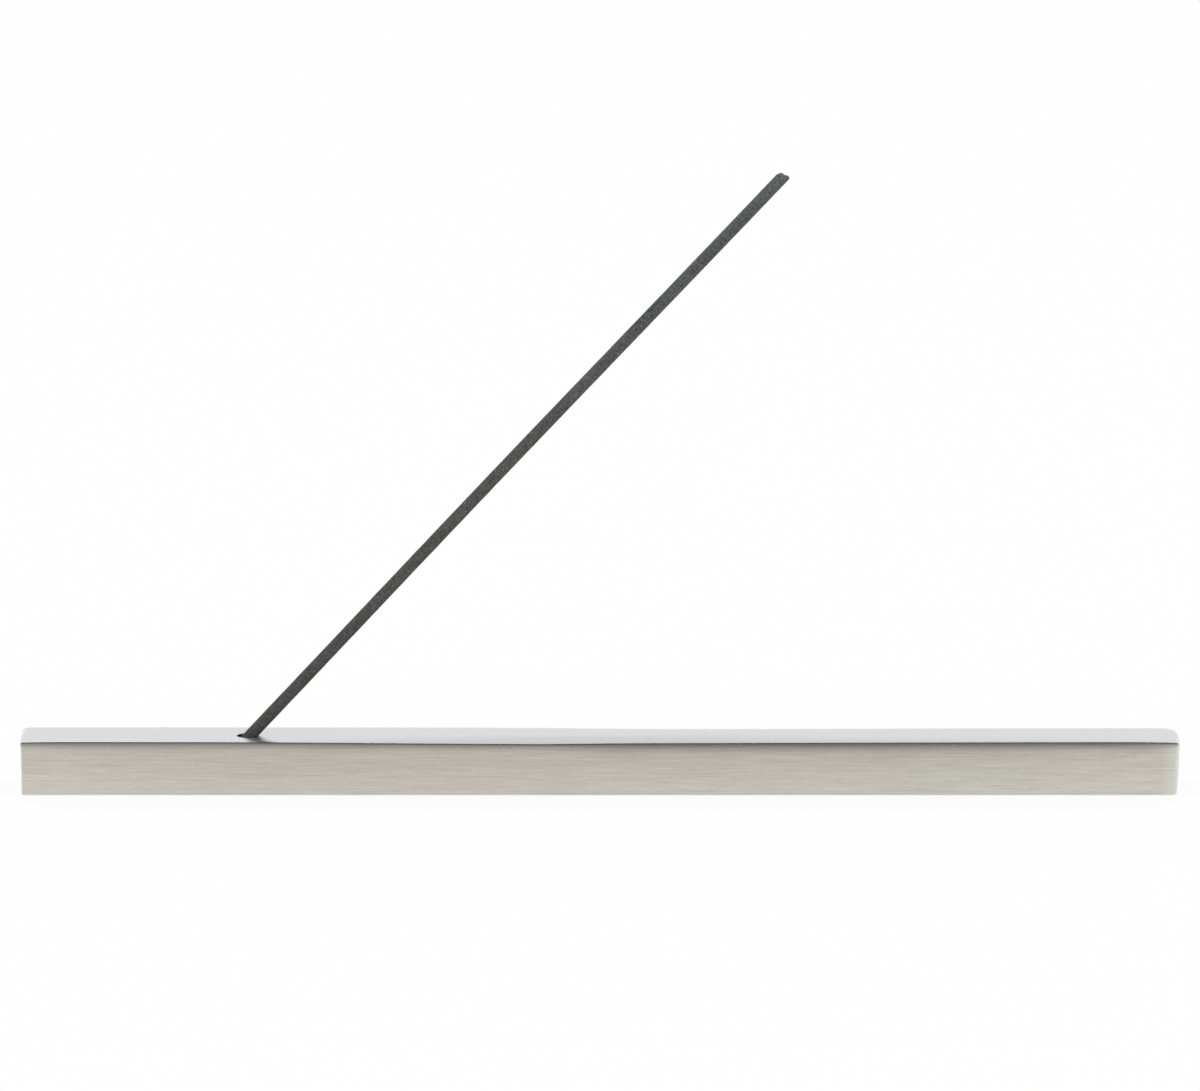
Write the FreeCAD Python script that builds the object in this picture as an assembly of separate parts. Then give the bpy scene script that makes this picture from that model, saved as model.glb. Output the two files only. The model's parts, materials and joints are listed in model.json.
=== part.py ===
import FreeCAD, Part
import math
import os

# Incense burner: a square bar of brushed steel that lies on a table. A blind bore,
# drilled on a slant near one end, holds one incense stick so that its ash falls
# along the bar. Soft pads sit in shallow pockets under the bar.
#
# Frame: +X along the bar, away from the bored end; +Y to the back; +Z up.
# The origin is the middle of the bar's footprint, on the table.

Vector = FreeCAD.Vector

# Driving dimensions: lengths in millimetres, angles in degrees.

bar_length = 203.2
bar_width = 9.525
bar_height = 9.525

# The two long top edges are rubbed down by hand, the front one more than the back
# one, and both more over the plain half of the bar than over the bored half.
front_edge_radius = 2.0
front_soft_radius = 2.8
back_edge_radius = 0.3
back_soft_radius = 1.2
edge_change_length = 16.0
bottom_edge_radius = 0.3
upright_edge_radius = 0.8
end_top_edge_radius = 0.5

stick_diameter = 2.1
stick_length = 147.0
stick_tip_slope = 11.0
stick_foot_radius = 0.15

bore_from_end = 39.8
bore_angle = 51.5
bore_play = 0.9
bore_floor = 1.7
drill_point_angle = 118.0
rim_radius = 0.15
stick_gap = 0.08

pad_count = 4
pad_diameter = 6.0
pad_thickness = 1.0
pad_stand = 0.2
pad_play = 0.1
pad_edge_bevel = 0.25
pad_from_end = 14.0

# Lengths under this count as nothing when an edge is looked up.
tolerance = 0.001

# Derived sizes and places.

under_z = pad_stand
top_z = under_z + bar_height
half_length = bar_length / 2
half_width = bar_width / 2

bore_radius = (stick_diameter + bore_play) / 2
bore_slant = math.radians(bore_angle)
mouth = Vector(-half_length + bore_from_end, 0, top_z)
drill_point_height = bore_radius / math.tan(math.radians(drill_point_angle / 2))
bore_length = (bar_height - bore_floor) / math.sin(bore_slant)
wall_length = bore_length - drill_point_height


def slanted(angle):
    """The direction in the bar's middle plane that rises at this angle, in radians."""
    return Vector(math.cos(angle), 0, math.sin(angle))


def stick_lean():
    """How far the loose stick tips over inside its bore, in radians.

    It tips until its side meets the near rim and its foot meets the far wall, with
    stick_gap left at both places.
    """
    along = bore_radius / math.tan(bore_slant) + wall_length - stick_gap
    across = 2 * bore_radius - stick_gap
    reach = math.hypot(along, across)
    return math.acos((stick_diameter + stick_gap) / reach) - math.atan2(along, across)


stick_slant = bore_slant - stick_lean()


def long_edge_radius(place):
    """Radius of the long top edges at this place along the bar."""
    if place.y < 0:
        return front_edge_radius if place.x < 0 else front_soft_radius
    return back_edge_radius if place.x < 0 else back_soft_radius


def edge_radii(edge):
    """Radii at the start and the end of one edge of the bar's block, or None."""
    start = edge.valueAt(edge.FirstParameter)
    end = edge.valueAt(edge.LastParameter)
    middle = edge.CenterOfMass
    runs_along = abs(end.x - start.x) > tolerance
    at_an_end = abs(middle.x) > half_length - tolerance
    at_the_top = middle.z > top_z - tolerance
    at_the_bottom = middle.z < under_z + tolerance
    if at_the_bottom and (runs_along or at_an_end):
        return bottom_edge_radius, bottom_edge_radius
    if at_the_top and runs_along:
        return long_edge_radius(start), long_edge_radius(end)
    if at_an_end:
        radius = end_top_edge_radius if at_the_top else upright_edge_radius
        return radius, radius
    return None


def softened_block():
    """The bar's block with every edge rounded.

    It is laid end to end from three lengths, so that the long top edges can change
    radius over the middle one.
    """
    stops = [-half_length, -edge_change_length / 2, edge_change_length / 2, half_length]
    lengths = [
        Part.makeBox(right - left, bar_width, bar_height, Vector(left, -half_width, under_z))
        for left, right in zip(stops, stops[1:])
    ]
    block = lengths[0].fuse(lengths[1:]).Solids[0]
    document = FreeCAD.newDocument("bar")
    source = document.addObject("Part::Feature", "block")
    source.Shape = block
    fillet = document.addObject("Part::Fillet", "softened")
    fillet.Base = source
    radii = [(number, edge_radii(edge)) for number, edge in enumerate(block.Edges, 1)]
    fillet.Edges = [(number, *pair) for number, pair in radii if pair]
    document.recompute()
    return fillet.Shape.removeSplitter().Solids[0]


def drill():
    """The drilled space: a round bore with a drill point, run out past the mouth."""
    run_out = bar_height
    outline = Part.makePolygon([
        Vector(0, 0, -bore_length),
        Vector(bore_radius, 0, -wall_length),
        Vector(bore_radius, 0, run_out),
        Vector(0, 0, run_out),
        Vector(0, 0, -bore_length),
    ])
    tool = Part.Face(outline).revolve(Vector(0, 0, 0), Vector(0, 0, 1), 360)
    turn = FreeCAD.Rotation(Vector(0, 0, 1), slanted(bore_slant))
    tool.Placement = FreeCAD.Placement(mouth, turn)
    return tool


def mouth_edges(bar):
    """The edges where the bore breaks out of the top face: those round its mouth."""
    return [edge for edge in bar.Edges if (edge.CenterOfMass - mouth).Length < bore_radius]


def pad_places():
    """Where the pads' centres stand along the bar."""
    first = -half_length + pad_from_end
    step = -2 * first / (pad_count - 1)
    return [first + step * number for number in range(pad_count)]


def pad_pocket(x):
    """The shallow round pocket that a pad is glued into."""
    radius = pad_diameter / 2 + pad_play
    return Part.makeCylinder(radius, pad_thickness, Vector(x, 0, 0))


def holder_bar():
    """The steel bar with its bore and its pad pockets."""
    bar = softened_block().cut(drill())
    bar = bar.makeFillet(rim_radius, mouth_edges(bar))
    return bar.cut([pad_pocket(x) for x in pad_places()])


def foot_pad(x):
    """One soft pad: a disc with its lower edge bevelled."""
    pad = Part.makeCylinder(pad_diameter / 2, pad_thickness, Vector(x, 0, 0))
    lower = [edge for edge in pad.Edges if edge.BoundBox.ZMax < pad_thickness / 2]
    return pad.makeChamfer(pad_edge_bevel, lower)


def stick_foot():
    """Where the middle of the stick's lower end stands in the bore."""
    into_wall = Vector(-math.sin(bore_slant), 0, math.cos(bore_slant))
    across_stick = Vector(-math.sin(stick_slant), 0, math.cos(stick_slant))
    far_corner = (
        mouth
        - slanted(bore_slant) * (wall_length - stick_gap)
        + into_wall * (bore_radius - stick_gap)
    )
    return far_corner - across_stick * (stick_diameter / 2)


def incense_stick():
    """The incense stick: a round rod, cut square at its foot and aslant at its tip."""
    radius = stick_diameter / 2
    rise = radius * math.tan(math.radians(stick_tip_slope))
    rod = Part.makeCylinder(radius, stick_length + rise)
    foot = [edge for edge in rod.Edges if edge.BoundBox.ZMax < stick_foot_radius]
    rod = rod.makeFillet(stick_foot_radius, foot)
    waste = Part.makeBox(
        4 * stick_diameter, 4 * stick_diameter, stick_diameter,
        Vector(-2 * stick_diameter, -2 * stick_diameter, 0),
    )
    tilt = FreeCAD.Rotation(Vector(0, 1, 0), -stick_tip_slope)
    waste.Placement = FreeCAD.Placement(Vector(0, 0, stick_length), tilt)
    rod = rod.cut(waste)
    lean = FreeCAD.Rotation(Vector(0, 0, 1), slanted(stick_slant))
    rod.Placement = FreeCAD.Placement(stick_foot(), lean)
    return rod


def main():
    pieces = {"holder_bar": holder_bar(), "incense_stick": incense_stick()}
    for number, x in enumerate(pad_places(), 1):
        pieces[f"foot_pad_{number}"] = foot_pad(x)
    os.makedirs("parts", exist_ok=True)
    for name, shape in pieces.items():
        shape.exportStep(f"parts/{name}.step")
        print(name, len(shape.Solids), "solid", shape.isValid(), round(shape.Volume, 2), "mm3")
    foot = stick_foot()
    print("stick rises at", round(math.degrees(stick_slant), 3), "degrees")
    print("stick foot", [round(value, 3) for value in foot])
    print("stick in the bore", round((top_z - foot.z) / math.sin(stick_slant), 2), "mm")


main()
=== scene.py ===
# %% [markdown]
# # A steel incense burner
# The real thing is one length of square steel bar with a slanted hole, and an incense stick that
# leans in the hole. Soft pads underneath, which such bars usually have, spare the table. The solids
# are already made at their real size. This lesson loads them as a fixed frame and dresses them: a
# bar with hand-rubbed edges, a stick with its grain and its snapped tip, and finishes made from
# nodes. All lengths are in metres.

# %% Load the frame
import json
import math
import bmesh
import bpy
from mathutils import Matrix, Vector


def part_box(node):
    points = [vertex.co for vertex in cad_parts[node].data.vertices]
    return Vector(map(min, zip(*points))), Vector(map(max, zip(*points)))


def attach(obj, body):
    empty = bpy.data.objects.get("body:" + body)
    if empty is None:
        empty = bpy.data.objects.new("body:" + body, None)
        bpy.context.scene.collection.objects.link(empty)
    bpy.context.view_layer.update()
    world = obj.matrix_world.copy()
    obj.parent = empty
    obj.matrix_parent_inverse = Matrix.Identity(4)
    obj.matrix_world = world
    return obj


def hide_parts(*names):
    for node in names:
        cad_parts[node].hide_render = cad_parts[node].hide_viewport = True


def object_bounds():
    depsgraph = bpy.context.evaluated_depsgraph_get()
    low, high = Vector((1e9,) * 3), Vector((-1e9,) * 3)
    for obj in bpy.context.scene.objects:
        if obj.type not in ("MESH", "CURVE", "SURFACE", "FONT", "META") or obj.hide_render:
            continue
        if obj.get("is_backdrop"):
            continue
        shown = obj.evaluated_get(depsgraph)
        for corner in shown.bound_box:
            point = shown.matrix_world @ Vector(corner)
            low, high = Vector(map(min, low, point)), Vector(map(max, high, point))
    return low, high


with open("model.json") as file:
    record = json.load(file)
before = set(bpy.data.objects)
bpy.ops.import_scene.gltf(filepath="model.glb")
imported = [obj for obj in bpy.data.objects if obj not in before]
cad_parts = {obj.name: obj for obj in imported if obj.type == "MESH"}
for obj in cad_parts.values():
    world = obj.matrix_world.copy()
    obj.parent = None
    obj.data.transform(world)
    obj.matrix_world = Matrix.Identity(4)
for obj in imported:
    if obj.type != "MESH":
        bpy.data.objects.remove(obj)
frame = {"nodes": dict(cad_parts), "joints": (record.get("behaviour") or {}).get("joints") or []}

solid_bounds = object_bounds()
MM = 0.001
solid_size = Vector(solid_bounds[1]) - Vector(solid_bounds[0])
print("the solids span", [round(side / MM, 2) for side in solid_size], "mm")

# %% [markdown]
# ## Small helpers
# Blender's operators work on whatever is selected, and loading leaves the solids selected. So each
# piece starts from a clean selection, and vertices are picked by where they are, which is what a
# hand on the mouse would do. Picking goes through bmesh because that reads the mesh in edit mode.

# %% Selecting and picking
def fresh_start():
    """Object mode with nothing selected."""
    if bpy.context.object and bpy.context.object.mode != "OBJECT":
        bpy.ops.object.mode_set(mode="OBJECT")
    bpy.ops.object.select_all(action="DESELECT")


def make_active(piece):
    """Selects one object and makes it the one that operators work on."""
    fresh_start()
    piece.select_set(True)
    bpy.context.view_layer.objects.active = piece


def settle(name):
    """Names a new primitive and moves its place into its mesh, so its object sits at the origin."""
    piece = bpy.context.object
    piece.name = name
    piece.data.name = name
    bpy.ops.object.transform_apply(location=True, rotation=True, scale=True)
    return piece


def pick(piece, wanted, kind="verts"):
    """In edit mode, selects the vertices, edges or faces that pass a test, and nothing else."""
    mode = {"verts": "VERT", "edges": "EDGE", "faces": "FACE"}[kind]
    bpy.ops.mesh.select_mode(type=mode)
    bpy.ops.mesh.select_all(action="DESELECT")
    mesh = bmesh.from_edit_mesh(piece.data)
    for part in getattr(mesh, kind):
        part.select_set(bool(wanted(part)))
    mesh.select_flush_mode()
    bmesh.update_edit_mesh(piece.data)
    return sum(part.select for part in getattr(mesh, kind))


def near(a, b, reach=0.02 * MM):
    """True where two lengths agree."""
    return abs(a - b) < reach


print("helpers ready")

# %% [markdown]
# ## The bar's block
# The bar is a block whose long top edges were rubbed soft by hand, more on some stretches than on
# others. A bevel has one width, so it can't do that. A subdivision surface can: lines cut close to
# an edge keep it crisp, and lines cut further away let it go soft. So the block is cut into a
# grid of lines, and those beside each edge are then slid nearer or further along its length.

# %% Cut the block into a grid
bar_low, bar_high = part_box("holder_bar")
half_length = bar_high.x
half_width = bar_high.y
top_z = bar_high.z
under_z = bar_low.z

# Where the bore's mouth lies, and how far from its middle the lines around it are cut.
mouth_from_end = 39.8 * MM
mouth = Vector((-half_length + mouth_from_end, 0, top_z))
hole_reach_x = 2.6 * MM
hole_reach_y = 1.78 * MM

# How far in from the back edge, the ends and the foot the lines beside them are cut.
edge_line = 0.5 * MM
end_line = 0.55 * MM
foot_line = 0.22 * MM

fresh_start()
bpy.ops.mesh.primitive_cube_add(size=1, location=(bar_low + bar_high) / 2)
bpy.context.object.scale = bar_high - bar_low
bar = settle("steel_bar")

# The places along the bar where a line goes round it, and then those across it and up it.
left_line = -half_length + end_line
right_line = half_length - end_line
stations = [left_line, mouth.x - hole_reach_x, mouth.x, mouth.x + hole_reach_x, right_line]
stations += [x * MM for x in (-94, -80, -70, -52, -42, -31, -20, -8.7)]
stations += [x * MM for x in (1, 10, 22, 36, 48, 60, 74, 88, 96)]
front_line_y = -hole_reach_y
shoulder_y = -half_width + 1.0 * MM
back_line_y = half_width - edge_line
cheek_z = top_z - 0.9 * MM
upper_line_z = top_z - 2.6 * MM
middle_z = under_z + 3.5 * MM
foot_line_z = under_z + foot_line

cuts = [((x, 0, 0), (1, 0, 0)) for x in stations]
cuts += [((0, y, 0), (0, 1, 0)) for y in (back_line_y, hole_reach_y, 0, front_line_y, shoulder_y)]
cuts += [((0, 0, z), (0, 0, 1)) for z in (cheek_z, upper_line_z, middle_z, foot_line_z)]

bpy.ops.object.mode_set(mode="EDIT")
for place, across in cuts:
    bpy.ops.mesh.select_all(action="SELECT")
    bpy.ops.mesh.bisect(plane_co=place, plane_no=across)
bpy.ops.object.mode_set(mode="OBJECT")
print("bar block cut into", len(bar.data.polygons), "faces")

# %% [markdown]
# ## Rubbing the edges
# Seen from the front, the bar's bright top ends in a line that wanders by a few tenths of a
# millimetre, because a hand leans harder in some places. Each rub below is a place along the bar
# and what the rubbing did there, in millimetres. Sliding the lines beside the edges to match,
# station by station, is the same as dragging vertices by hand.

# %% Slide the lines beside the long edges
# Place along the bar, how far in from the front the top starts to slope, how far down the front
# edge lies, how far in it is rounded, and how far the back edge is rounded.
rubs = [
    (-102, 1.4, -0.08, 0.35, 0.2),
    (-98, 1.7, -0.1, 0.66, 0.2),
    (-60, 2.0, -0.07, 0.6, 0.2),
    (-37, 3.0, 0.12, 0.55, 0.3),
    (-10, 4.2, 0.28, 0.45, 0.6),
    (3, 4.4, 0.24, 0.95, 1.8),
    (26, 4.2, 0.18, 0.95, 2.0),
    (61, 3.4, 0.08, 0.95, 1.2),
    (93, 2.0, 0.0, 0.82, 1.0),
    (98, 1.8, 0.0, 0.8, 1.0),
    (102, 1.3, 0.0, 0.25, 1.0),
]
line_in = 0.35 * MM
line_down = 0.12 * MM
cheek_down = 0.9 * MM
front_down = 2.4 * MM
front_in = 0.08 * MM
crown = 0.22 * MM
foot_in = 0.24 * MM
clear_of_mouth = 1.1 * hole_reach_x
slack = 0.1 * MM


def between(stops, x):
    """A value that runs straight from stop to stop; each stop is (place, value)."""
    for (x0, v0), (x1, v1) in zip(stops, stops[1:]):
        if x <= x1:
            share = min(max((x - x0) / (x1 - x0), 0), 1)
            return v0 + (v1 - v0) * share
    return stops[-1][1]


def rub_at(x, which):
    """One column of the rubs, at a place along the bar."""
    return between([(rub[0], rub[which]) for rub in rubs], x / MM) * MM


def slide(wanted, by):
    """Moves the picked vertices of the bar."""
    count = pick(bar, wanted)
    if count:
        bpy.ops.transform.translate(value=by)
    return count


def slide_line(x, y, z, to_y, to_z):
    """Moves the vertex of one long line at one station to a new place across the bar."""
    return slide(
        lambda v: near(v.co.x, x) and near(v.co.y, y) and near(v.co.z, z),
        (0, to_y - y, to_z - z),
    )


make_active(bar)
bpy.ops.object.mode_set(mode="EDIT")
moved = 0
for x in [-half_length, *stations, half_length]:
    top_in, down, round_in, back_reach = (rub_at(x, which) for which in range(1, 5))
    line_z = top_z - down
    cheek_in = round_in / 3
    if abs(x - mouth.x) > clear_of_mouth:
        moved += slide_line(x, front_line_y, top_z, top_in - half_width, top_z)
    moved += slide_line(x, shoulder_y, top_z, round_in + line_in - half_width, line_z)
    moved += slide_line(x, -half_width, top_z, round_in - half_width, line_z - line_down)
    moved += slide_line(x, -half_width, cheek_z, cheek_in - half_width, line_z - cheek_down)
    moved += slide_line(x, -half_width, upper_line_z, front_in - half_width, line_z - front_down)
    moved += slide_line(x, back_line_y, top_z, half_width - back_reach, top_z)
    moved += slide_line(x, half_width, cheek_z, half_width, top_z - back_reach)
    moved += slide_line(x, shoulder_y, under_z, foot_line - half_width, under_z)
slide(lambda v: near(v.co.y, -half_width) and near(v.co.z, middle_z), (0, -crown, 0))
slide(lambda v: near(v.co.y, half_width) and near(v.co.z, middle_z), (0, crown, 0))
slide(lambda v: near(v.co.y, -half_width) and v.co.z < foot_line_z + slack, (0, foot_in, 0))
bpy.ops.object.mode_set(mode="OBJECT")
print("slid", moved, "vertices beside the long edges")

# %% [markdown]
# ## Grinding the ends
# The ends were ground by hand as well. Their back corners are rounder than the front ones, and
# the right end leans in a little towards its foot and its back. Moving a line away from an upright
# edge makes that edge rounder, and moving the end's own corners sets its lean.

# %% Shape the two ends
# Which way the end faces, how far the lines beside its back upright edge move away from it along
# the bar and across, and how far the end is pulled out at its foot, middle, upper line and top.
ends = [
    (-1, 1.0, 1.4, (-0.11, -0.08, -0.1, 0.1)),
    (1, 1.6, 2.0, (-0.14, 0.07, 0.18, 0.34)),
]
below_rim_z = top_z - 0.6 * MM
heights = [
    (under_z, foot_line_z),
    (middle_z, middle_z),
    (upper_line_z - 1.0 * MM, cheek_z),
    (below_rim_z, top_z),
]
end_depth = 0.5 * MM
back_strip_y = half_width - 3 * MM
back_corner_y = half_width - 1.5 * MM


def on_end(v, side):
    """True for the vertices of one end face."""
    return side * v.co.x > half_length - end_depth


def on_end_between(v, side, low, high):
    """True for the vertices of one end face between two heights."""
    return on_end(v, side) and low - slack < v.co.z < high + slack


make_active(bar)
bpy.ops.object.mode_set(mode="EDIT")
for side, along, inward, pulls in ends:
    line = side * (half_length - end_line)
    slide(lambda v: near(v.co.x, line) and v.co.y > back_strip_y, (-side * along * MM, 0, 0))
    slide(
        lambda v: on_end(v, side) and back_corner_y < v.co.y < half_width - slack,
        (0, -inward * MM, 0),
    )
    for (low, high), pull in zip(heights, pulls):
        slide(lambda v: on_end_between(v, side, low, high), (side * pull * MM, 0, 0))
bpy.ops.object.mode_set(mode="OBJECT")
print("ground", len(ends), "ends")

# %% [markdown]
# ## Each end by itself
# No two hand-ground ends are alike. The left one bulges a little and keeps a crisp front edge, so
# the line beside that edge moves nearer to it. The right one is ground further in at its back, and
# its front edge is softer. A crease then keeps the middle of each end's top edge crisp, which takes
# no extra lines.

# %% Finish each end
left_bulge = 0.15 * MM
left_crisp = 0.5 * MM
bulge_reach = 3.5 * MM
right_back_in = 0.1 * MM
right_corner_in = 0.2 * MM
right_soft = 0.5 * MM
right_ground = 0.1 * MM
front_strip_y = -half_width + 1.5 * MM
front_corner_y = -half_width + 0.9 * MM
rim_low_z = top_z - 0.5 * MM
rim_back_y = 2.0 * MM
rim_crease = 0.32


def on_the_rim(edge):
    """True for the middle of the top edge of an end."""
    at_end = all(on_end(v, -1) or on_end(v, 1) for v in edge.verts)
    at_top = all(v.co.z > rim_low_z for v in edge.verts)
    inner = all(front_strip_y < v.co.y < rim_back_y for v in edge.verts)
    return at_end and at_top and inner


make_active(bar)
bpy.ops.object.mode_set(mode="EDIT")
slide(lambda v: on_end(v, -1) and near(v.co.y, 0, bulge_reach), (-left_bulge, 0, 0))
slide(lambda v: on_end(v, 1) and v.co.y > 0, (-right_back_in, 0, 0))
slide(lambda v: on_end(v, 1) and near(v.co.y, half_width), (-right_corner_in, 0, 0))
slide(
    lambda v: on_end(v, -1) and near(v.co.y, shoulder_y) and v.co.z < below_rim_z,
    (0, -left_crisp, 0),
)
slide(lambda v: near(v.co.x, right_line) and v.co.y < front_strip_y, (-right_soft, 0, 0))
slide(lambda v: on_end(v, 1) and v.co.y < front_corner_y, (-right_ground, right_ground, 0))
creased = pick(bar, on_the_rim, "edges")
bpy.ops.transform.edge_crease(value=rim_crease)
bpy.ops.object.mode_set(mode="OBJECT")
print("ends finished,", creased, "edges creased")

# %% [markdown]
# ## The bore
# A slanted drill leaves an oval mouth. Four faces meet at its middle, so an inset gives a ring of
# eight corners, which is pulled to an oval and drawn down along the drill's direction. The
# subdivision surface rounds the eight corners to a clean oval, a little smaller than its ring, so
# the ring is made larger by that share. The mouth is made a little narrower than the drill, which is
# how it looks on the real bar. The bore ends in the cone that a drill's point leaves.

# %% Inset and draw down the bore
bore_radius = 1.5 * MM
bore_slant = math.radians(51.5)
bore_floor = 1.7 * MM
drill_direction = Vector((math.cos(bore_slant), 0, math.sin(bore_slant)))
drill_point = math.radians(59)
point_scale = 0.05
bore_length = (top_z - under_z - bore_floor) / math.sin(bore_slant)
wall_length = bore_length - bore_radius / math.tan(drill_point)
half_wall = wall_length / 2

eighth_turn = math.pi / 4
ring_share = (4 + 2 * math.cos(eighth_turn)) / 6
ring_centre = bore_radius / 10
mouth_width = 2.6 * MM
rim = 0.1 * MM
flare = 1.6 * rim
collar = 2 * rim


def shape_ring(wider):
    """Pulls the picked ring of vertices to the oval of the mouth, or so much wider."""
    mesh = bmesh.from_edit_mesh(bar.data)
    for vertex in mesh.verts:
        offset = vertex.co - mouth
        if vertex.select and offset.length > ring_centre:
            turn = math.atan2(offset.y / hole_reach_y, offset.x / hole_reach_x)
            turn = round(turn / eighth_turn) * eighth_turn
            along = (bore_radius / math.sin(bore_slant) + wider) * math.cos(turn)
            across = (mouth_width / 2 + wider) * math.sin(turn)
            vertex.co = mouth + Vector((along, across, 0)) / ring_share
    bmesh.update_edit_mesh(bar.data)


def over_the_mouth(face):
    """True for the faces of the top that the bore takes away."""
    middle = face.calc_center_median() - mouth
    return near(middle.z, 0) and abs(middle.x) < hole_reach_x and abs(middle.y) < hole_reach_y


make_active(bar)
bpy.ops.object.mode_set(mode="EDIT")
pick(bar, over_the_mouth, "faces")
bpy.ops.mesh.inset(thickness=rim, depth=0)
shape_ring(flare)
bpy.ops.mesh.inset(thickness=rim / 2, depth=0)
shape_ring(0)
for depth in (collar, half_wall - collar, half_wall, bore_length - wall_length):
    bpy.ops.mesh.extrude_region_move(TRANSFORM_OT_translate={"value": -drill_direction * depth})
bpy.ops.transform.resize(value=(point_scale, point_scale, point_scale))
bpy.ops.object.mode_set(mode="OBJECT")
print("bore drawn down", round(bore_length / MM, 2), "mm")

# %% [markdown]
# ## Rounding the bar
# The subdivision surface turns the cage into the finished form, and applying it leaves a plain
# mesh that any program can read. Three levels are enough: the facets across the front edge are
# then about a tenth of a millimetre wide.

# %% Apply the subdivision surface
make_active(bar)
smooth = bar.modifiers.new("hand_rubbed", "SUBSURF")
smooth.levels = 3
smooth.render_levels = 3
bpy.ops.object.modifier_apply(modifier=smooth.name)
bpy.ops.object.shade_smooth()
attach(bar, "holder")
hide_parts("holder_bar")
print("bar has", len(bar.data.polygons), "faces")

# %% [markdown]
# ## The incense stick
# The stick is pressed from a dry paste, so it is never quite straight or smooth. It starts as an
# open tube that lies along the stick's axis. Rings along its length give it something to bend
# and wrinkle with. The tip was snapped off, so its end is drawn up by itself and filled with a
# grid whose vertices can be pushed up and down.

# %% Roll the stick
stick_axis = Vector(frame["joints"][0]["axis"]).normalized()
stick_across = Vector((stick_axis.z, 0, -stick_axis.x))
stick_radius = 1.07 * MM
stick_foot = Vector((-67.752, 0, 2.841)) * MM
stick_length = 147 * MM
tip_height = 1.3 * MM
stick_sides = 32
rings = 290
hair = 0.01 * MM


def along_stick(place):
    """How far up the stick a place is."""
    return (place - stick_foot).dot(stick_axis)


fresh_start()
bpy.ops.mesh.primitive_cylinder_add(
    vertices=stick_sides,
    radius=stick_radius,
    depth=stick_length - tip_height,
    end_fill_type="NOTHING",
    location=stick_foot + stick_axis * (stick_length - tip_height) / 2,
    rotation=(0, math.atan2(stick_axis.x, stick_axis.z), 0),
)
stick = settle("incense")
bpy.ops.object.mode_set(mode="EDIT")
pick(stick, lambda e: e.calc_length() > stick_length / 2, "edges")
bpy.ops.mesh.subdivide(number_cuts=rings)
pick(stick, lambda v: along_stick(v.co) < hair)
bpy.ops.mesh.fill_grid()
pick(stick, lambda v: along_stick(v.co) > stick_length - tip_height - hair)
bpy.ops.mesh.extrude_region_move(TRANSFORM_OT_translate={"value": stick_axis * tip_height})
bpy.ops.mesh.fill_grid()
bpy.ops.mesh.select_all(action="SELECT")
bpy.ops.mesh.normals_make_consistent(inside=False)
bpy.ops.object.mode_set(mode="OBJECT")
print("stick rolled with", len(stick.data.polygons), "faces")

# %% [markdown]
# ## Bend, snap and wrinkle
# Moving the middle ring with proportional editing bows the whole stick by a fifth of a
# millimetre. The tip's height follows a short profile across the stick: rounded off on one side,
# level in the middle, and a raised lip on the other. A displace modifier with a cloud texture
# then wrinkles the skin.

# %% Shape the stick
# How far across the stick, as a share of its radius, and how far up or down in millimetres.
tip_profile = [(-1.0, -0.95), (-0.8, -0.6), (-0.58, -0.17), (-0.3, -0.07), (0.0, -0.03)]
tip_profile += [(0.25, 0.0), (0.5, 0.24), (0.78, 0.4), (1.0, 0.18)]
bow = 0.2 * MM
bow_reach = 75 * MM
ring_reach = 0.6 * MM
sharp_angle = math.radians(50)


def on_middle_ring(v):
    """True for the vertices halfway up the stick."""
    return near(along_stick(v.co), stick_length / 2, ring_reach)


make_active(stick)
bpy.ops.object.mode_set(mode="EDIT")
pick(stick, lambda v: along_stick(v.co) > stick_length - hair)
mesh = bmesh.from_edit_mesh(stick.data)
for vertex in mesh.verts:
    if vertex.select:
        sideways = (vertex.co - stick_foot).dot(stick_across) / stick_radius
        vertex.co += stick_axis * between(tip_profile, sideways) * MM
bmesh.update_edit_mesh(stick.data)
pick(stick, on_middle_ring)
bpy.ops.transform.translate(
    value=-stick_across * bow,
    use_proportional_edit=True,
    proportional_edit_falloff="SMOOTH",
    proportional_size=bow_reach,
)
bpy.ops.object.mode_set(mode="OBJECT")

wrinkles = bpy.data.textures.new("paste_wrinkles", "CLOUDS")
wrinkles.noise_scale = 0.9 * MM
wrinkles.noise_depth = 2
skin = stick.modifiers.new("wrinkles", "DISPLACE")
skin.texture = wrinkles
skin.texture_coords = "LOCAL"
skin.mid_level = 0.5
skin.strength = 0.06 * MM
bpy.ops.object.modifier_apply(modifier=skin.name)
bpy.ops.object.shade_smooth_by_angle(angle=sharp_angle)
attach(stick, "stick")
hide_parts("incense_stick")
middle = [v.co for v in stick.data.vertices if on_middle_ring(v)]
bowed = -sum((place - stick_foot).dot(stick_across) for place in middle) / len(middle)
print("stick bowed by", round(bowed / MM, 3), "mm at its middle")

# %% [markdown]
# ## Helpers for finishes
# Every finish below is a small tree of nodes, and most of them stretch a noise one way to get a
# grain. These helpers add a node with its values, a stretched noise on Object coordinates, and a
# range that turns a noise into a useful number. Object coordinates are metres here, so a scale of
# 1000 gives features about a millimetre wide.

# %% Nodes by hand
# Most of a noise lies between these two numbers.
noise_low = 0.3
noise_high = 0.7


def new_finish(name):
    """A new node material, with its tree and its principled shader."""
    finish = bpy.data.materials.new(name)
    finish.use_nodes = True
    return finish, finish.node_tree, finish.node_tree.nodes["Principled BSDF"]


def add(tree, kind, values=None, **settings):
    """Adds a node, with its settings by name and its inputs by name or number."""
    node = tree.nodes.new(kind)
    for name, value in settings.items():
        setattr(node, name, value)
    for socket, value in (values or {}).items():
        if isinstance(value, bpy.types.NodeSocket):
            tree.links.new(value, node.inputs[socket])
        else:
            node.inputs[socket].default_value = value
    return node


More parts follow.
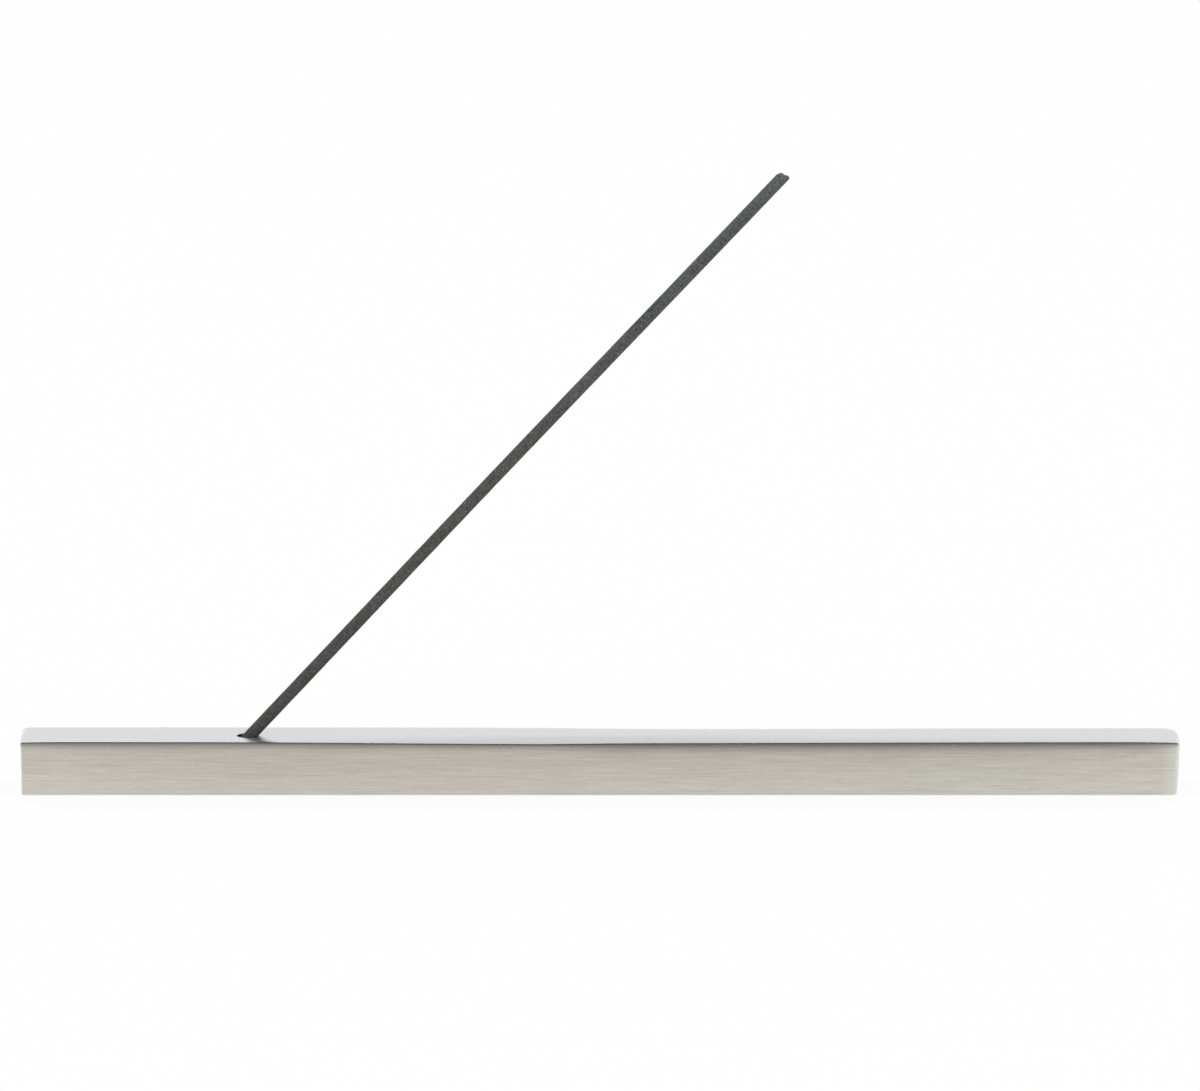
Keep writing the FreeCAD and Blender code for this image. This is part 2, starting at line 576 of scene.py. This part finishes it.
def noise(tree, scale, detail, turn=(0, 0, 0)):
    """Noise stretched by its scale along each axis, with the axes turned first."""
    place = add(tree, "ShaderNodeTexCoord").outputs["Object"]
    turned = add(tree, "ShaderNodeMapping", {"Vector": place, "Rotation": turn})
    sized = add(tree, "ShaderNodeMapping", {"Vector": turned.outputs[0], "Scale": scale})
    inputs = {"Vector": sized.outputs[0], "Scale": 1, "Detail": detail}
    return add(tree, "ShaderNodeTexNoise", inputs).outputs[0]


def span(tree, value, low, high, to_low, to_high, smoothly=False):
    """Maps one range of numbers onto another."""
    kind = "SMOOTHSTEP" if smoothly else "LINEAR"
    inputs = {0: value, 1: low, 2: high, 3: to_low, 4: to_high}
    return add(tree, "ShaderNodeMapRange", inputs, interpolation_type=kind).outputs[0]


def maths(tree, operation, first, second):
    """One sum on two numbers."""
    return add(tree, "ShaderNodeMath", {0: first, 1: second}, operation=operation).outputs[0]


def blend(tree, share, first, second, kind="MIX"):
    """Mixes two colours."""
    return add(tree, "ShaderNodeMixRGB", {0: share, 1: first, 2: second}, blend_type=kind).outputs[0]


def dress(piece, finish):
    """Gives a piece this finish alone."""
    piece.data.materials.clear()
    piece.data.materials.append(finish)


print("finish helpers ready")

# %% [markdown]
# ## Brushed steel: telling its places apart
# The bar isn't the same all over. Its top and sides are satin, the rubbed edge between them is
# shinier, the ends are ground, and the bore's walls get painted shade. A painted mask could tell
# these apart, but the surface can do it by itself: its normal says what lies flat, slopes or stands
# upright, and Object coordinates say what is near an end or inside the bore. Each mask runs from 0
# to 1.

# %% Masks on the steel
steel, tree, shader = new_finish("brushed_steel")
normal = add(tree, "ShaderNodeNewGeometry").outputs["Normal"]
facing = add(tree, "ShaderNodeSeparateXYZ", {0: normal}).outputs
polished = span(tree, facing["Z"], 0.25, 0.95, 0, 1, smoothly=True)
at_end = span(tree, maths(tree, "ABSOLUTE", facing["X"], 0.0), 0.06, 0.5, 0, 1, smoothly=True)
# The flat top: its satin roughness, and where its painted highlight goes.
flat_top_satin_and_highlight = span(tree, facing["Z"], 0.978, 0.995, 0, 1, smoothly=True)
flat_top_satin_and_highlight = maths(tree, "MULTIPLY", flat_top_satin_and_highlight, maths(tree, "SUBTRACT", 1.0, at_end))
upright_end = maths(tree, "MULTIPLY", at_end, maths(tree, "SUBTRACT", 1.0, polished))

place = add(tree, "ShaderNodeTexCoord").outputs["Object"]
place = add(tree, "ShaderNodeSeparateXYZ", {0: place}).outputs
from_middle = maths(tree, "ABSOLUTE", place["X"], 0.0)
from_centre_line = maths(tree, "ABSOLUTE", place["Y"], 0.0)
near_end = span(tree, from_middle, 55 * MM, 100 * MM, 0, 1, smoothly=True)
ground_end = span(tree, place["X"], 98 * MM, half_length, 0, 1, smoothly=True)

off_the_ends = maths(tree, "LESS_THAN", from_middle, 90 * MM)
off_the_underside = maths(tree, "GREATER_THAN", place["Z"], under_z + 1 * MM)
in_bore = maths(tree, "LESS_THAN", from_centre_line, bore_radius)
in_bore = maths(tree, "MULTIPLY", in_bore, off_the_ends)
in_bore = maths(tree, "MULTIPLY", in_bore, off_the_underside)
# Painted shade: inside the bore the steel is painted near-black below its rim, as shade in a hollow.
bore_shade_mask = span(tree, place["Z"], top_z - 0.4 * MM, top_z - 0.1 * MM, 1, 0, smoothly=True)
bore_shade_mask = maths(tree, "MULTIPLY", in_bore, bore_shade_mask)
print("masks take", len(tree.nodes), "nodes")

# %% [markdown]
# ## Brushed steel: its colour
# Steel's colour is the colour of its reflections. Here it is a warm grey that turns faintly green
# towards the right, in broad patches, and pales near the ends. The flat top is painted much paler
# than the sides, as a painted highlight. Brush strokes are noise stretched along the bar: short ones
# and long ones, turned a little against each other so that they cross as real strokes do. They show
# more on the sides than on the top.

# %% Steel's colour
warm_side = (0.615, 0.564, 0.508, 1)
green_side = (0.592, 0.574, 0.502, 1)
pale_side = (0.630, 0.602, 0.546, 1)
ground_side = (0.70, 0.70, 0.635, 1)
warm_edge = (0.64, 0.62, 0.58, 1)
green_edge = (0.632, 0.622, 0.572, 1)
# Painted highlight: the flat top is painted much paler than the steel of the sides.
painted_highlight_top = (0.872, 0.863, 0.857, 1)
end_face = (0.74, 0.74, 0.71, 1)
# The bore's painted shade.
painted_bore_shade = (0.05, 0.047, 0.044, 1)
brush_turn = math.radians(0.1)
short_share = 0.35

short_strokes = noise(tree, (900, 4200, 4200), 2, (0, brush_turn, 0))
long_strokes = noise(tree, (110, 4200, 4200), 2, (0, -brush_turn, 0))
strokes = maths(tree, "MULTIPLY", short_strokes, short_share)
strokes = maths(tree, "ADD", strokes, maths(tree, "MULTIPLY", long_strokes, 1 - short_share))
patches = noise(tree, (45, 130, 130), 3)
greenish = span(tree, place["X"], 15 * MM, 80 * MM, 0.2, 0.8, smoothly=True)
greenish = maths(tree, "ADD", greenish, span(tree, patches, 0.35, 0.65, -0.35, 0.35))

side_colour = blend(tree, greenish, warm_side, green_side)
side_colour = blend(tree, near_end, side_colour, pale_side)
side_colour = blend(tree, ground_end, side_colour, ground_side)
top_colour_with_highlight = blend(tree, greenish, warm_edge, green_edge)
# Across the flat top the colour turns to the painted highlight.
top_colour_with_highlight = blend(tree, flat_top_satin_and_highlight, top_colour_with_highlight, painted_highlight_top)
colour = blend(tree, polished, side_colour, top_colour_with_highlight)
colour = blend(tree, upright_end, colour, end_face)
# Inside the bore the colour turns to the painted shade.
colour = blend(tree, bore_shade_mask, colour, painted_bore_shade)
shade = span(tree, strokes, noise_low, noise_high, 0.87, 1.13)
soft_shade = span(tree, strokes, noise_low, noise_high, 0.96, 1.04)
shade = blend(tree, polished, shade, soft_shade)
tree.links.new(blend(tree, 1.0, colour, shade, "MULTIPLY"), shader.inputs["Base Color"])
print("with its colour, steel has", len(tree.nodes), "nodes")

# %% [markdown]
# ## Brushed steel: its sheen
# Grooves spread a reflection across them more than along them, which is what the anisotropic value
# and a tangent that runs round the bar's length do. Roughness then tells the satin faces from the
# shinier rubbed edge, and the strokes add a trace of roughness and bump of their own.

# %% Steel's sheen
side_rough = 0.38
edge_polish = 0.16
satin_rough = 0.2
stroke_rough = 0.02

rough = maths(tree, "SUBTRACT", side_rough, maths(tree, "MULTIPLY", polished, edge_polish))
rough = maths(tree, "ADD", rough, maths(tree, "MULTIPLY", flat_top_satin_and_highlight, satin_rough))
streaks = span(tree, strokes, noise_low, noise_high, -stroke_rough, stroke_rough)
rough = maths(tree, "ADD", rough, streaks)
tree.links.new(rough, shader.inputs["Roughness"])
shader.inputs["Metallic"].default_value = 1
shader.inputs["Anisotropic"].default_value = 0.5
tangent = add(tree, "ShaderNodeTangent", direction_type="RADIAL", axis="X")
tree.links.new(tangent.outputs[0], shader.inputs["Tangent"])
bump = add(tree, "ShaderNodeBump", {"Strength": 0.12, "Distance": 0.01 * MM, "Height": strokes})
tree.links.new(bump.outputs[0], shader.inputs["Normal"])
dress(bar, steel)
print("steel has", len(tree.nodes), "nodes in all")

# %% [markdown]
# ## Charcoal paste
# The stick is matt and nearly black, with a fine grain, faint rings from the press and a few pale
# specks of wood. The pattern's axes are turned so that one of them runs along the stick, and the
# rings then come from a noise that is short along it and long around it.

# %% Incense
# Painted light and shade: the stick is painted cooler and paler near its top, and darker and warmer
# towards its foot.
lit_upper_tone = (0.097, 0.103, 0.105, 1)
shaded_lower_tone = (0.065, 0.063, 0.0605, 1)
lit_upper_pale = (0.148, 0.155, 0.153, 1)
shaded_lower_pale = (0.105, 0.1, 0.093, 1)
deepened = (0.52, 0.52, 0.52, 1)
wood = (0.36, 0.33, 0.25, 1)
grain_share = 0.65
press_share = 0.2
mottle_share = 0.15
speck_scale = 1500
speck_reach = 0.22
speck_rarity = 0.82
speck_strength = 0.4

charcoal, tree, shader = new_finish("charcoal_paste")
upright = (0, -math.atan2(stick_axis.x, stick_axis.z), 0)
grain = noise(tree, (3400, 3400, 3400), 3, upright)
pressed = noise(tree, (700, 700, 6500), 2, upright)
mottle = noise(tree, (500, 500, 160), 2, upright)
height = add(tree, "ShaderNodeTexCoord").outputs["Object"]
height = add(tree, "ShaderNodeSeparateXYZ", {0: height}).outputs["Z"]
# Painted shade, growing from the upper stick down to its foot.
shade_towards_foot = span(tree, height, 10 * MM, 110 * MM, 1, 0)

surface = maths(tree, "MULTIPLY", grain, grain_share)
surface = maths(tree, "ADD", surface, maths(tree, "MULTIPLY", pressed, press_share))
surface = maths(tree, "ADD", surface, maths(tree, "MULTIPLY", mottle, mottle_share))
tone = blend(tree, shade_towards_foot, lit_upper_tone, shaded_lower_tone)
pale = blend(tree, shade_towards_foot, lit_upper_pale, shaded_lower_pale)
dark = blend(tree, 1.0, tone, deepened, "MULTIPLY")
colour = blend(tree, span(tree, surface, 0.36, 0.64, 0, 1), dark, pale)

place = add(tree, "ShaderNodeTexCoord").outputs["Object"]
specks = add(tree, "ShaderNodeTexVoronoi", {"Vector": place, "Scale": speck_scale})
inside = maths(tree, "LESS_THAN", specks.outputs["Distance"], speck_reach)
lot = add(tree, "ShaderNodeSeparateColor", {0: specks.outputs["Color"]}).outputs[0]
chosen = maths(tree, "GREATER_THAN", lot, speck_rarity)
speck = maths(tree, "MULTIPLY", inside, chosen)
colour = blend(tree, maths(tree, "MULTIPLY", speck, speck_strength), colour, wood)
tree.links.new(colour, shader.inputs["Base Color"])
tree.links.new(span(tree, surface, noise_low, noise_high, 0.95, 0.8), shader.inputs["Roughness"])
shader.inputs["Specular IOR Level"].default_value = 0.25
bump = add(tree, "ShaderNodeBump", {"Strength": 0.5, "Distance": 0.05 * MM, "Height": surface})
tree.links.new(bump.outputs[0], shader.inputs["Normal"])
dress(stick, charcoal)
print("charcoal has", len(tree.nodes), "nodes")

# %% [markdown]
# ## Rubber pads
# The pads are small discs of dark rubber that are almost hidden. The solids already have their
# right form, so they only need a finish: matt, with a fine pebble grain and a dusty bloom.

# %% Rubber
clean_rubber = (0.03, 0.03, 0.031, 1)
dusty_rubber = (0.06, 0.059, 0.056, 1)

rubber, tree, shader = new_finish("pad_rubber")
pebbles = noise(tree, (3500, 3500, 3500), 2)
bloom = noise(tree, (600, 600, 600), 3)
dusty = span(tree, bloom, 0.35, 0.7, 0, 1)
colour = blend(tree, dusty, clean_rubber, dusty_rubber)
tree.links.new(colour, shader.inputs["Base Color"])
tree.links.new(span(tree, pebbles, noise_low, noise_high, 0.62, 0.85), shader.inputs["Roughness"])
bump = add(tree, "ShaderNodeBump", {"Strength": 0.3, "Distance": 0.05 * MM, "Height": pebbles})
tree.links.new(bump.outputs[0], shader.inputs["Normal"])
pads = [node for name, node in frame["nodes"].items() if name.startswith("foot_pad")]
for pad in pads:
    dress(pad, rubber)
print("dressed", len(pads), "pads")

# %% [markdown]
# ## A white floor
# The floor is plain white paper. Seen by the camera or in the metal, most of it is an even white
# glow of strength 1, and the rest is lit paper, so the bar still casts a faint soft shadow. The
# glow lights nothing else, because only those rays see it.

# %% Floor
floor_size = 40
dull_white = (0.84, 0.84, 0.84, 1)
clear_white = (0.88, 0.88, 0.875, 1)
glow_share = 0.9

fresh_start()
bpy.ops.mesh.primitive_plane_add(size=floor_size, location=(0, 0, 0))
floor = settle("studio_floor")
paper, tree, shader = new_finish("white_paper")
fibres = noise(tree, (900, 900, 900), 3)
tone = blend(tree, fibres, dull_white, clear_white)
tree.links.new(tone, shader.inputs["Base Color"])
shader.inputs["Roughness"].default_value = 0.95
shader.inputs["Specular IOR Level"].default_value = 0.1
glow = add(tree, "ShaderNodeEmission", {"Color": (1, 1, 1, 1), "Strength": 1})
rays = add(tree, "ShaderNodeLightPath").outputs
seen = maths(tree, "MAXIMUM", rays["Is Camera Ray"], rays["Is Glossy Ray"])
seen = maths(tree, "MAXIMUM", seen, rays["Is Transmission Ray"])
share = maths(tree, "MULTIPLY", seen, glow_share)
mixed = add(tree, "ShaderNodeMixShader", {0: share, 1: shader.outputs[0], 2: glow.outputs[0]})
tree.links.new(mixed.outputs[0], tree.nodes["Material Output"].inputs["Surface"])
dress(floor, paper)
floor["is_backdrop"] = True
print("floor laid")

# %% [markdown]
# ## What the steel sees
# Bare metal shows its surroundings, so the studio is painted on the world as bands over the bar: a
# large cool screen behind, a dark gap above it, and a warmer, dimmer room in front. The bar's
# rounded edge sweeps through all of them, which draws its dark line. The bands run round the
# bar's length, and towards the bar's two ends they melt into plain white.

# %% World
world = bpy.data.worlds.new("studio")
bpy.context.scene.world = world
world.use_nodes = True
tree = world.node_tree
ways = add(tree, "ShaderNodeTexCoord").outputs["Generated"]
ways = add(tree, "ShaderNodeSeparateXYZ", {0: ways}).outputs
angle = maths(tree, "DIVIDE", maths(tree, "ARCTAN2", ways["Z"], ways["Y"]), math.pi)
bands = add(tree, "ShaderNodeValToRGB", {0: angle})
plain_white = (1.0, 1.0, 0.99, 1)
# Degrees up from straight behind the bar, over its top, to straight in front, and the colour there.
stops = [
    (0, (1.19, 1.23, 1.3)),
    (20, (1.17, 1.21, 1.28)),
    (28, (1.1, 1.13, 1.18)),
    (36, (1.38, 1.38, 1.38)),
    (43, (1.28, 1.28, 1.28)),
    (45, (0.02, 0.02, 0.02)),
    (70, (0.02, 0.02, 0.02)),
    (82, (0.19, 0.195, 0.195)),
    (116, (0.265, 0.265, 0.265)),
    (130, (0.37, 0.37, 0.365)),
    (150, (0.545, 0.54, 0.535)),
    (180, (0.66, 0.655, 0.64)),
]
while len(bands.color_ramp.elements) < len(stops):
    bands.color_ramp.elements.new(0.5)
for element, (degrees, colour) in zip(bands.color_ramp.elements, stops):
    element.position = degrees / 180
    element.color = (*colour, 1)
endways = span(tree, maths(tree, "ABSOLUTE", ways["X"], 0.0), 0.35, 0.75, 0, 1, smoothly=True)
studio = blend(tree, endways, bands.outputs[0], plain_white)
tree.links.new(studio, tree.nodes["Background"].inputs["Color"])
tree.nodes["Background"].inputs["Strength"].default_value = 1
print("studio painted with", len(stops), "stops")

# %% [markdown]
# ## A lamp and the camera
# One very wide soft lamp overhead brings matt things to their written colour. It is kept
# out of reflections, so it draws no stripe of its own on the steel. The camera stands far back
# with a long lens and looks down a little, so the bar's lines stay nearly parallel.

# %% Lamp and camera
lamp_height = 1.6

fresh_start()
bpy.ops.object.light_add(type="AREA", location=(0, 0, lamp_height))
lamp = bpy.context.object
lamp.name = "soft_lamp"
lamp.data.size = 4
lamp.data.energy = 40
lamp.visible_glossy = False

pitch = math.radians(16.57)
distance = 1.35
target = Vector((0.088, 0, 44.59)) * MM
view = Vector((0, math.cos(pitch), -math.sin(pitch)))
bpy.ops.object.camera_add(location=target - view * distance)
camera = bpy.context.object
camera.rotation_euler = view.to_track_quat("-Z", "Y").to_euler()
camera.data.lens = 232.0
camera.data.sensor_width = 36
camera.data.clip_end = 100
bpy.context.scene.camera = camera
bpy.context.scene.view_settings.view_transform = "Standard"
print("camera stands", round(camera.location.z, 3), "m up")

# %% [markdown]
# ## Measure
# The dressed model has to stay the size of the solids. Its size is printed, to set beside the
# solids' size printed at the start.

# %% Finish
dressed_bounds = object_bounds()
dressed_size = Vector(dressed_bounds[1]) - Vector(dressed_bounds[0])
print("the dressed model spans", [round(side / MM, 2) for side in dressed_size], "mm")
